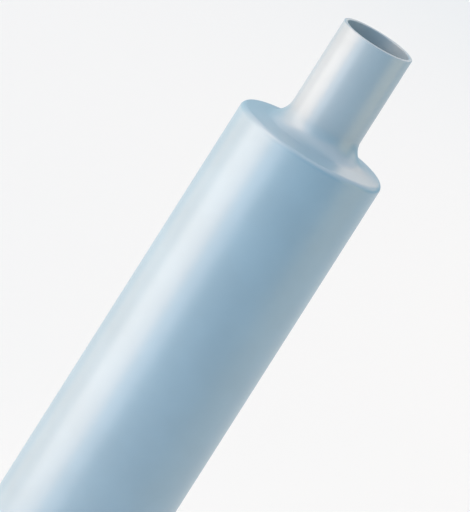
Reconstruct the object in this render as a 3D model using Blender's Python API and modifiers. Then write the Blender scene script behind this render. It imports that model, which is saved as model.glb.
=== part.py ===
"""Heat shrink tube: a thin plastic sleeve whose one end is shrunk to a narrow neck.

It stands on its full-size cut end, with its axis along +Z and the neck at the top. Sizes are in metres.
"""

from math import cos, pi, radians, sin, tan

import bpy
from mathutils import Vector

LENGTH = 0.305
BODY_DIAMETER = 0.0520
BODY_WALL = 0.0006
NECK_DIAMETER = 0.0252
NECK_WALL = 0.0013
NECK_HEIGHT = 0.0393  # from the rim down to the level of the shoulder's outer edge
SHOULDER_SLOPE = radians(10)  # how far the shoulder climbs towards the neck
CORNER_RADIUS = 0.0021  # outside, where the body turns into the shoulder
FILLET_RADIUS = 0.0075  # outside, where the shoulder turns up into the neck
LIP_RADIUS = 0.00035  # on both edges of the neck's rim

MOST_FILLET = 0.95  # the share of the shoulder that the fillet may take at most
STEPS = 64  # round the axis
LIP_SEGMENTS = 3
CORNER_SEGMENTS = 6
FILLET_SEGMENTS = 8
SEAM_MERGE = 0.00001
SHARP_ANGLE = radians(40)

PALE_BLUE = (0.42, 0.58, 0.72, 1.0)
ROUGHNESS = 0.35


def clear_scene():
    for obj in list(bpy.data.objects):
        bpy.data.objects.remove(obj)


def arc(centre, radius, start, end, segments):
    """Points round a centre from one angle to another, with both ends."""
    angles = [start + (end - start) * i / segments for i in range(segments + 1)]
    return [centre + radius * Vector((cos(a), sin(a))) for a in angles]


def outer_side():
    """The outside as points of radius and height, from under the lip down to the cut end."""
    body = BODY_DIAMETER / 2
    neck = NECK_DIAMETER / 2
    corner_centre = Vector((body - CORNER_RADIUS, LENGTH - NECK_HEIGHT - CORNER_RADIUS))
    corner = arc(corner_centre, CORNER_RADIUS, pi / 2 - SHOULDER_SLOPE, 0, CORNER_SEGMENTS)
    shoulder_length = (corner[0].x - neck) / cos(SHOULDER_SLOPE)
    reach_per_radius = tan((pi / 2 - SHOULDER_SLOPE) / 2)
    fillet_radius = min(FILLET_RADIUS, MOST_FILLET * shoulder_length / reach_per_radius)
    foot = corner[0].y + shoulder_length * sin(SHOULDER_SLOPE)  # where shoulder and neck would meet
    fillet_centre = Vector((neck + fillet_radius, foot + fillet_radius * reach_per_radius))
    fillet = arc(fillet_centre, fillet_radius, pi, 3 * pi / 2 - SHOULDER_SLOPE, FILLET_SEGMENTS)
    return [Vector((neck, LENGTH - LIP_RADIUS)), *fillet, *corner, Vector((body, 0))]


def wall_at(radius):
    """The wall thickens evenly from the body's to the neck's as the tube gets narrower."""
    body = BODY_DIAMETER / 2
    neck = NECK_DIAMETER / 2
    return BODY_WALL + (NECK_WALL - BODY_WALL) * (body - radius) / (body - neck)


def inner_side(outside):
    """The outside moved in by the wall's thickness there, in the same order."""
    runs = [(end - start).normalized() for start, end in zip(outside, outside[1:])]
    moved = []
    for point, before, after in zip(outside, [runs[0], *runs], [*runs, runs[-1]]):
        along = (before + after).normalized()
        inwards = Vector((along.y, -along.x))
        moved.append(point + inwards * wall_at(point.x) / along.dot(after))
    return moved


def tube_profile():
    """The wall's closed section: down the outside from the rim, across the cut end and up the inside."""
    outside = outer_side()
    inside = inner_side(outside)
    out_turn = outside[0] - Vector((LIP_RADIUS, 0))
    in_turn = inside[0] + Vector((LIP_RADIUS, 0))
    outer_lip = arc(out_turn, LIP_RADIUS, pi / 2, 0, LIP_SEGMENTS)
    inner_lip = arc(in_turn, LIP_RADIUS, pi, pi / 2, LIP_SEGMENTS)
    return [*outer_lip[:-1], *outside, *reversed(inside), *inner_lip[1:]]


def turned(name, profile, collection):
    """A closed section turned once round the Z axis with a Screw modifier."""
    count = len(profile)
    edges = [(i, (i + 1) % count) for i in range(count)]
    mesh = bpy.data.meshes.new(name)
    mesh.from_pydata([(point.x, 0, point.y) for point in profile], edges, [])
    obj = bpy.data.objects.new(name, mesh)
    collection.objects.link(obj)
    screw = obj.modifiers.new("Turn", "SCREW")
    screw.steps = STEPS
    screw.render_steps = STEPS
    screw.use_merge_vertices = True
    screw.merge_threshold = SEAM_MERGE
    bpy.context.view_layer.objects.active = obj
    bpy.ops.object.modifier_apply(modifier=screw.name)
    mesh.shade_smooth()
    mesh.set_sharp_from_angle(angle=SHARP_ANGLE)
    return obj


def tube_plastic():
    """Smooth pale blue polyolefin with a soft shine."""
    material = bpy.data.materials.new("tube_plastic")
    material.use_nodes = True
    surface = material.node_tree.nodes["Principled BSDF"].inputs
    surface["Base Color"].default_value = PALE_BLUE
    surface["Roughness"].default_value = ROUGHNESS
    surface["Metallic"].default_value = 0.0
    return material


def main():
    clear_scene()
    collection = bpy.data.collections.new("heat_shrink_tube")
    bpy.context.scene.collection.children.link(collection)
    tube = turned("shrink_tube", tube_profile(), collection)
    tube.data.materials.append(tube_plastic())


main()
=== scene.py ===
# %% [markdown]
# # A heat shrink tube
#
# A heat shrink tube is a sleeve of stretched plastic that shrinks round a cable when it is warmed.
# This one has been warmed at one end only, so it has a full-size body and a narrow neck. We start
# from the measured solid of the tube, give it a finer surface of its own, and photograph it.

# %% Load the tube's solid
from math import cos, pi, radians, sin, tan

import bmesh
import bpy
from mathutils import Matrix, Vector


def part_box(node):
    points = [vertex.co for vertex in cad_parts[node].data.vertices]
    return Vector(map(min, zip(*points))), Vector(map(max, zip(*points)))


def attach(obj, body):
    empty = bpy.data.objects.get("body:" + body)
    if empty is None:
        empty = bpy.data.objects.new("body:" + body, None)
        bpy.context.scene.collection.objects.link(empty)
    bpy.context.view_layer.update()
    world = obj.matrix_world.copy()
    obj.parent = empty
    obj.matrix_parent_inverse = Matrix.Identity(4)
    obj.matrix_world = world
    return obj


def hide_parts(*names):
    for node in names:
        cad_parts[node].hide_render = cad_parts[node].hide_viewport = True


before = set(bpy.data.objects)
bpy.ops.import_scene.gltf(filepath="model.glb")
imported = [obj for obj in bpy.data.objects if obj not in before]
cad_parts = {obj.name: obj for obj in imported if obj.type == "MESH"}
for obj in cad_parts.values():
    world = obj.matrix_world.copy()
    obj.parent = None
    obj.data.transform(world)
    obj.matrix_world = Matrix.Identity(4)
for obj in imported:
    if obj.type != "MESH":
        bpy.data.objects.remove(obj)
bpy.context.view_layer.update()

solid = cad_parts["shrink_tube"]

# %% [markdown]
# ## Measure before modelling
#
# The solid says how big the tube is, so we read its sizes instead of typing them again. It is a
# turned part that stands on its wide end, so a vertex's distance from the Z axis is a radius. Near
# the top only the neck is left, and near the floor only the body. The corners of a many-sided ring
# lie on the true circle, so the largest and smallest radii are the real ones.

# %% Read the sizes from the solid
low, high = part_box("shrink_tube")
END_ZONE = 0.0005  # metres of tube, measured from an end, that count as that end


def ring_radii(lowest, highest):
    """The smallest and the largest distance from the axis between two heights."""
    radii = [v.co.xy.length for v in solid.data.vertices if lowest <= v.co.z <= highest]
    return min(radii), max(radii)


BODY_BORE, BODY_RADIUS = ring_radii(low.z, low.z + END_ZONE)
NECK_BORE, NECK_RADIUS = ring_radii(high.z - END_ZONE, high.z)
print(f"body {BODY_BORE * 1000:.2f} to {BODY_RADIUS * 1000:.2f} mm from the axis")
print(f"neck {NECK_BORE * 1000:.2f} to {NECK_RADIUS * 1000:.2f} mm from the axis")

# %% [markdown]
# ## Put the camera where the photographer stood
#
# The tube leans to the upper right in the photograph, and its two long edges stay parallel. That
# is a very long lens, far away. We let the tube stand upright and roll the camera instead: the
# picture is the same, and the tube rests on the floor as it should. The flattened circle of the
# rim gives the camera's height: the ring is 0.2 times as tall as it is wide, and that is the sine
# of the angle that we look down at.

# %% Set up the camera
PICTURE = Vector((470, 512))  # pixels
RIM_CENTRE_PX = Vector((378.7, 39.6))  # in the photograph, from its top left corner
BODY_WIDTH_PX = 164.5
LEAN = radians(32.4)  # of the tube, clockwise from upright
LOOK_DOWN = radians(11.5)
LENS_MM = 1200
SENSOR_MM = 36
VIEW_DEPTH = 100  # metres, past the far edge of the floor

metres_per_px = 2 * BODY_RADIUS / BODY_WIDTH_PX
distance = metres_per_px * PICTURE.y * LENS_MM / SENSOR_MM
back = Vector((0, -cos(LOOK_DOWN), sin(LOOK_DOWN)))
level_up = Vector((0, sin(LOOK_DOWN), cos(LOOK_DOWN)))
right = Vector((1, 0, 0)) * cos(LEAN) + level_up * sin(LEAN)
up = back.cross(right)
from_middle = (RIM_CENTRE_PX - PICTURE / 2) * metres_per_px
aim = Vector((0, 0, high.z)) - right * from_middle.x + up * from_middle.y

camera = bpy.data.objects.new("camera", bpy.data.cameras.new("camera"))
camera.data.lens = LENS_MM
camera.data.sensor_width = SENSOR_MM
camera.data.clip_end = VIEW_DEPTH
roll = Matrix((right, up, back)).transposed().to_4x4()
camera.matrix_world = Matrix.Translation(aim + back * distance) @ roll
bpy.context.scene.collection.objects.link(camera)
bpy.context.scene.camera = camera
print(f"the camera stands {distance:.2f} m away")

# %% [markdown]
# ## Draw the wall's section
#
# Every cut through the axis shows the same thin wall, so one section is all that we have to draw.
# We only place its sharp corners, going down the outside from the rim and up the inside again. The
# shoulder climbs a little towards the neck. The wall is thicker at the neck, because the plastic
# that shrank has to go somewhere.

# %% Place the section's corners
NECK_HEIGHT = 0.0393  # metres from the rim down to the shoulder's outer edge
SHOULDER_SLOPE = radians(10)
CORNER_RADIUS = 0.0021
FILLET_RADIUS = 0.0075
LIP_RADIUS = 0.00045
BODY_WALL = BODY_RADIUS - BODY_BORE
NECK_WALL = NECK_RADIUS - NECK_BORE


def corner_lift(radius, turn):
    """How far beyond an arc's ends its sharp corner lies, for an arc that turns by so much."""
    return radius * tan(turn / 2)


body_turn = pi / 2 - SHOULDER_SLOPE
edge_rise = corner_lift(CORNER_RADIUS, body_turn) - CORNER_RADIUS
edge_z = high.z - NECK_HEIGHT + edge_rise
foot_z = edge_z + (BODY_RADIUS - NECK_RADIUS) * tan(SHOULDER_SLOPE)
inner_edge_z = edge_z - BODY_WALL * tan(body_turn / 2)
inner_foot_z = foot_z - NECK_WALL * tan(body_turn / 2)

section = bmesh.new()
corners = {
    "outer_lip": section.verts.new((NECK_RADIUS, 0, high.z)),
    "outer_foot": section.verts.new((NECK_RADIUS, 0, foot_z)),
    "outer_edge": section.verts.new((BODY_RADIUS, 0, edge_z)),
    "outer_end": section.verts.new((BODY_RADIUS, 0, low.z)),
    "inner_end": section.verts.new((BODY_BORE, 0, low.z)),
    "inner_edge": section.verts.new((BODY_BORE, 0, inner_edge_z)),
    "inner_foot": section.verts.new((NECK_BORE, 0, inner_foot_z)),
    "inner_lip": section.verts.new((NECK_BORE, 0, high.z)),
}
loop = list(corners.values())
for start, end in zip(loop, loop[1:] + loop[:1]):
    section.edges.new((start, end))
print("the section has", len(section.verts), "corners")

# %% [markdown]
# ## Round the section's corners
#
# Bevel with `affect="VERTICES"` rounds a corner of an outline, and a profile of 0.5 makes the
# round a true arc. The heat leaves a tight round at the body's edge and a wide one at the neck's
# foot. The rim was cut before it was warmed, so its two edges have softened. The full-size end is
# still as the knife left it, with edges that are only just broken.

# %% Bevel the corners into arcs
CUT_EDGE_RADIUS = 0.00008  # metres


def round_corner(name, radius, turn, segments):
    """Rounds one corner of the section with an arc of that radius."""
    bmesh.ops.bevel(
        section,
        geom=[corners[name]],
        offset=corner_lift(radius, turn),
        offset_type="OFFSET",
        segments=segments,
        profile=0.5,
        affect="VERTICES",
        material=-1,
    )


round_corner("outer_lip", LIP_RADIUS, pi / 2, segments=6)
round_corner("inner_lip", LIP_RADIUS, pi / 2, segments=6)
round_corner("outer_foot", FILLET_RADIUS, body_turn, segments=24)
round_corner("inner_foot", FILLET_RADIUS + NECK_WALL, body_turn, segments=24)
round_corner("outer_edge", CORNER_RADIUS, body_turn, segments=14)
round_corner("inner_edge", CORNER_RADIUS - BODY_WALL, body_turn, segments=10)
round_corner("outer_end", CUT_EDGE_RADIUS, pi / 2, segments=2)
round_corner("inner_end", CUT_EDGE_RADIUS, pi / 2, segments=2)
print("the section now has", len(section.verts), "points")

# %% [markdown]
# ## Turn the section round the axis
#
# The real tube is pushed out of a round die, so it is the same all the way round, and a turned form
# is the honest way to make it. Spin sweeps the section once round Z. With `use_merge` the last copy
# is joined to the first, so there is no seam. The body and the neck are straight along the axis, so
# they need no rings between their ends, but many steps round the axis keep the rim's outline smooth.

# %% Spin the section into a tube
SPIN_STEPS = 256
SEAM_MERGE = 1e-7  # metres
SHARP_ANGLE = radians(40)

bmesh.ops.spin(
    section,
    geom=section.verts[:] + section.edges[:],
    cent=(0, 0, 0),
    axis=(0, 0, 1),
    angle=2 * pi,
    steps=SPIN_STEPS,
    use_merge=True,
)
bmesh.ops.remove_doubles(section, verts=section.verts, dist=SEAM_MERGE)
bmesh.ops.recalc_face_normals(section, faces=section.faces)
tube_mesh = bpy.data.meshes.new("tube")
section.to_mesh(tube_mesh)
section.free()
tube_mesh.shade_smooth()
tube_mesh.set_sharp_from_angle(angle=SHARP_ANGLE)
tube = bpy.data.objects.new("tube", tube_mesh)
bpy.context.scene.collection.objects.link(tube)
print("the tube has", len(tube_mesh.polygons), "faces")

# %% [markdown]
# ## The plastic's colour
#
# Heat shrink tube is polyolefin, a waxy plastic with a little blue pigment. One flat value could
# stand for it, but two things on the real tube vary. The wall has thickened where it has shrunk, and
# the neck is paler and greyer than the body. The pigment is also very slightly cloudy. Both follow
# the Object coordinates, which are metres from the middle of the wide end, so the colours stay on
# the plastic whichever way we look at it.

# %% Mix the blue of the plastic
BODY_BLUE = (0.216, 0.342, 0.447, 1)
NECK_BLUE = (0.283, 0.371, 0.445, 1)
CLOUD_SIZE = 0.018  # metres across one cloudy patch
CLOUD_RANGE = (0.97, 1.03)  # how much darker and lighter the patches are
CLOUD_DETAIL = 3  # finer layers that the noise adds
NOISE_SPAN = (0.3, 0.7)  # nearly all of a noise texture's numbers lie in here

plastic = bpy.data.materials.new("pale_blue_polyolefin")
plastic.use_nodes = True
nodes = plastic.node_tree.nodes
links = plastic.node_tree.links
shader = nodes["Principled BSDF"]


def add_node(kind, place):
    """Adds a node at a place in the node editor."""
    node = nodes.new(kind)
    node.location = place
    return node


def map_range(value, place, from_range, to_range):
    """Turns one range of numbers into another with soft ends, and returns the new number."""
    node = add_node("ShaderNodeMapRange", place)
    node.interpolation_type = "SMOOTHSTEP"
    node.inputs["From Min"].default_value, node.inputs["From Max"].default_value = from_range
    node.inputs["To Min"].default_value, node.inputs["To Max"].default_value = to_range
    links.new(value, node.inputs["Value"])
    return node.outputs["Result"]


def noise(coordinates, place, scale, detail):
    """A noise texture that reads some coordinates, as a number from 0 to 1."""
    node = add_node("ShaderNodeTexNoise", place)
    node.inputs["Scale"].default_value = scale
    node.inputs["Detail"].default_value = detail
    links.new(coordinates, node.inputs["Vector"])
    return node.outputs["Fac"]


metres = add_node("ShaderNodeTexCoord", (-1500, 0)).outputs["Object"]
split = add_node("ShaderNodeSeparateXYZ", (-1300, 300))
links.new(metres, split.inputs["Vector"])
shrunk = map_range(split.outputs["Z"], (-1050, 300), (edge_z, foot_z + FILLET_RADIUS), (0, 1))
blues = add_node("ShaderNodeValToRGB", (-800, 300))
blues.color_ramp.elements[0].color = BODY_BLUE
blues.color_ramp.elements[1].color = NECK_BLUE
links.new(shrunk, blues.inputs["Fac"])
clouds = noise(metres, (-1300, 0), 1 / CLOUD_SIZE, CLOUD_DETAIL)
cloudy = add_node("ShaderNodeHueSaturation", (-450, 250))
links.new(map_range(clouds, (-800, 0), NOISE_SPAN, CLOUD_RANGE), cloudy.inputs["Value"])
links.new(blues.outputs["Color"], cloudy.inputs["Color"])
links.new(cloudy.outputs["Color"], shader.inputs["Base Color"])
print(f"the body's blue turns into the neck's above {edge_z * 1000:.1f} mm")

# %% [markdown]
# ## The plastic's shine
#
# The tube has a soft satin shine. It was drawn out of a round die, which leaves hardly visible lines
# along it. A noise texture makes them: we stretch its coordinates along Z, and every spot becomes a
# long thin streak. The streaks change the roughness by very little, because the photograph shows an
# even band of light, and they raise the surface by far less than the width of a hair. The numbers
# that are the same all over, such as the index of refraction, stay on the shader's own sockets.

# %% Give the plastic its satin shine
LINE_WIDTH = 0.0016  # metres round the tube
LINE_LENGTH = 0.12  # metres along the tube
LINE_HEIGHT = 0.0000008  # metres that a line stands out
LINE_DETAIL = 2  # finer layers that the noise adds
ROUGHNESS_RANGE = (0.315, 0.325)  # 0 would be a mirror and 1 is matte
REFRACTION = 1.6
SPECULAR_LEVEL = 1.0  # 0.5 is neutral, and 1.0 doubles the reflection seen head-on

stretch = add_node("ShaderNodeMapping", (-1300, -300))
stretch.inputs["Scale"].default_value = (1, 1, LINE_WIDTH / LINE_LENGTH)
links.new(metres, stretch.inputs["Vector"])
lines = noise(stretch.outputs["Vector"], (-1050, -300), 1 / LINE_WIDTH, LINE_DETAIL)
roughness = map_range(lines, (-450, -100), NOISE_SPAN, ROUGHNESS_RANGE)
links.new(roughness, shader.inputs["Roughness"])
bump = add_node("ShaderNodeBump", (-450, -400))
bump.inputs["Distance"].default_value = LINE_HEIGHT
links.new(lines, bump.inputs["Height"])
links.new(bump.outputs["Normal"], shader.inputs["Normal"])
shader.inputs["IOR"].default_value = REFRACTION
shader.inputs["Specular IOR Level"].default_value = SPECULAR_LEVEL
tube_mesh.materials.append(plastic)
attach(tube, "root")
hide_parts("shrink_tube")
print("the plastic has", len(nodes), "nodes")

# %% [markdown]
# ## The floor
#
# The photograph's background is one plain pale grey. A wide matte plane gives it, because the long
# lens sees only a narrow strip of floor behind the tube, and the light on that strip is even. A
# curved paper roll would do the same, but the plane also shows how the tube stands.

# %% Lay the floor
FLOOR_HALF_SIZE = 40  # metres
FLOOR_GREY = 0.93
FLOOR_ROUGHNESS = 0.9

floor_bm = bmesh.new()
bmesh.ops.create_grid(floor_bm, x_segments=1, y_segments=1, size=FLOOR_HALF_SIZE)
floor_mesh = bpy.data.meshes.new("floor")
floor_bm.to_mesh(floor_mesh)
floor_bm.free()
floor = bpy.data.objects.new("floor", floor_mesh)
bpy.context.scene.collection.objects.link(floor)
floor_paint = bpy.data.materials.new("floor_paint")
floor_paint.use_nodes = True
floor_shader = floor_paint.node_tree.nodes["Principled BSDF"].inputs
floor_shader["Base Color"].default_value = (FLOOR_GREY, FLOOR_GREY, FLOOR_GREY, 1)
floor_shader["Roughness"].default_value = FLOOR_ROUGHNESS
floor_mesh.materials.append(floor_paint)
print("the floor is", 2 * FLOOR_HALF_SIZE, "metres wide")

# %% [markdown]
# ## Light the white band
#
# A shiny tube is a curved mirror: each strip of it shows what stands in one direction round it. So
# we read the photograph from left to right and place a softbox for each strip. In a studio that is
# a box with a white cloth front, and in Blender it is a rectangular area lamp. The first is the key,
# a tall one on the left, which draws the white band down the body and the neck. It stands on the
# floor close to the tube. The camera looks down a little, so what the band mirrors lies slightly
# below level.
#
# We say how bright a softbox looks, as red, green and blue, where 1 is the white of the picture.
# Blender asks for watts instead. An even rectangle gives off its brightness times its area times pi,
# so the helper works the watts out, and a lamp looks the same when we change its size.

# %% Place the key
KEY = (3.32, 2.43, 1.8)
KEY_REACH = 0.3  # metres from the tube
KEY_HEIGHT = 0.7


def around(azimuth, reach, height):
    """A place round the tube; azimuth 0 is the camera's side and 90 is the right."""
    turn = radians(azimuth)
    return Vector((reach * sin(turn), -reach * cos(turn), height))


def softbox(name, place, target, width, height, brightness):
    """A rectangle of even light that faces a target and that the camera doesn't see."""
    lamp = bpy.data.lights.new(name, "AREA")
    lamp.shape = "RECTANGLE"
    lamp.size = width
    lamp.size_y = height
    brightest = max(brightness)
    lamp.color = [part / brightest for part in brightness]
    lamp.energy = brightest * width * height * pi
    holder = bpy.data.objects.new(name, lamp)
    holder.location = place
    holder.rotation_euler = (place - target).to_track_quat("Z", "Y").to_euler()
    holder.visible_camera = False
    bpy.context.scene.collection.objects.link(holder)
    print(f"{name} gives {lamp.energy:.1f} W")


key_middle = Vector((0, 0, KEY_HEIGHT / 2))
softbox("key", around(-72, KEY_REACH, key_middle.z), key_middle, 0.25, KEY_HEIGHT, KEY)

# %% [markdown]
# ## Soften the band's sides
#
# The key alone would draw a band with two hard edges. In the photograph its left side stays pale as
# far as the outline, and its right side fades into the blue. Two narrower softboxes do that, one on
# each side of the key: a dim one towards the back and one towards the camera.

# %% Place a softbox on each side of the key
KEY_FRONT = (1.41, 1.38, 1.43)
KEY_EDGE = (1.09, 0.58, 0.23)

softbox("key_front", around(-36, KEY_REACH, key_middle.z), key_middle, 0.10, KEY_HEIGHT, KEY_FRONT)
softbox("key_edge", around(-112, KEY_REACH, key_middle.z), key_middle, 0.18, KEY_HEIGHT, KEY_EDGE)

# %% [markdown]
# ## Light the rest
#
# A wide dim wall lights the right side. Two lamps at the back draw the pale line along the
# shoulder's right edge and the bright spot at the neck's foot. A large one overhead lights the floor
# evenly. Most of the lamps are warm and the room is cool, as with lamps in daylight, which keeps the
# band white and the shaded side blue. The Standard view shows these colours as they are.

# %% Place the other lamps and light the room
RIGHT_WALL = (1.05, 0.77, 0.35)
BACK = (1.36, 0.91, 0.56)
BACK_RIGHT = (1.02, 0.76, 0.55)
TOP = (0.87, 0.56, 0.41)
ROOM = (0.31, 0.54, 0.68)
FAR_REACH = 1.8  # metres from the tube
WALL_HEIGHT = 1.6
BACK_SIZE = (0.8, 0.9)  # metres, width and height
TOP_SIZE = 4.5
TOP_HEIGHT = 2.2

rim = Vector((0, 0, high.z))
wall_middle = Vector((0, 0, WALL_HEIGHT / 2))
floor_behind = Vector((0, 0.8, 0))  # metres; the camera sees the floor behind the tube
overhead = floor_behind + Vector((0, 0, TOP_HEIGHT))
softbox("right_wall", around(90, FAR_REACH, wall_middle.z), wall_middle, 1.5, WALL_HEIGHT, RIGHT_WALL)
softbox("back_right", around(140, FAR_REACH, 1.0), rim, *BACK_SIZE, BACK_RIGHT)
softbox("back", around(170, FAR_REACH, 1.1), rim, *BACK_SIZE, BACK)
softbox("top", overhead, floor_behind, TOP_SIZE, TOP_SIZE, TOP)
room = bpy.data.worlds.new("room")
room.use_nodes = True
room.node_tree.nodes["Background"].inputs["Color"].default_value = (*ROOM, 1)
room.node_tree.nodes["Background"].inputs["Strength"].default_value = 1
bpy.context.scene.world = room
bpy.context.scene.view_settings.view_transform = "Standard"
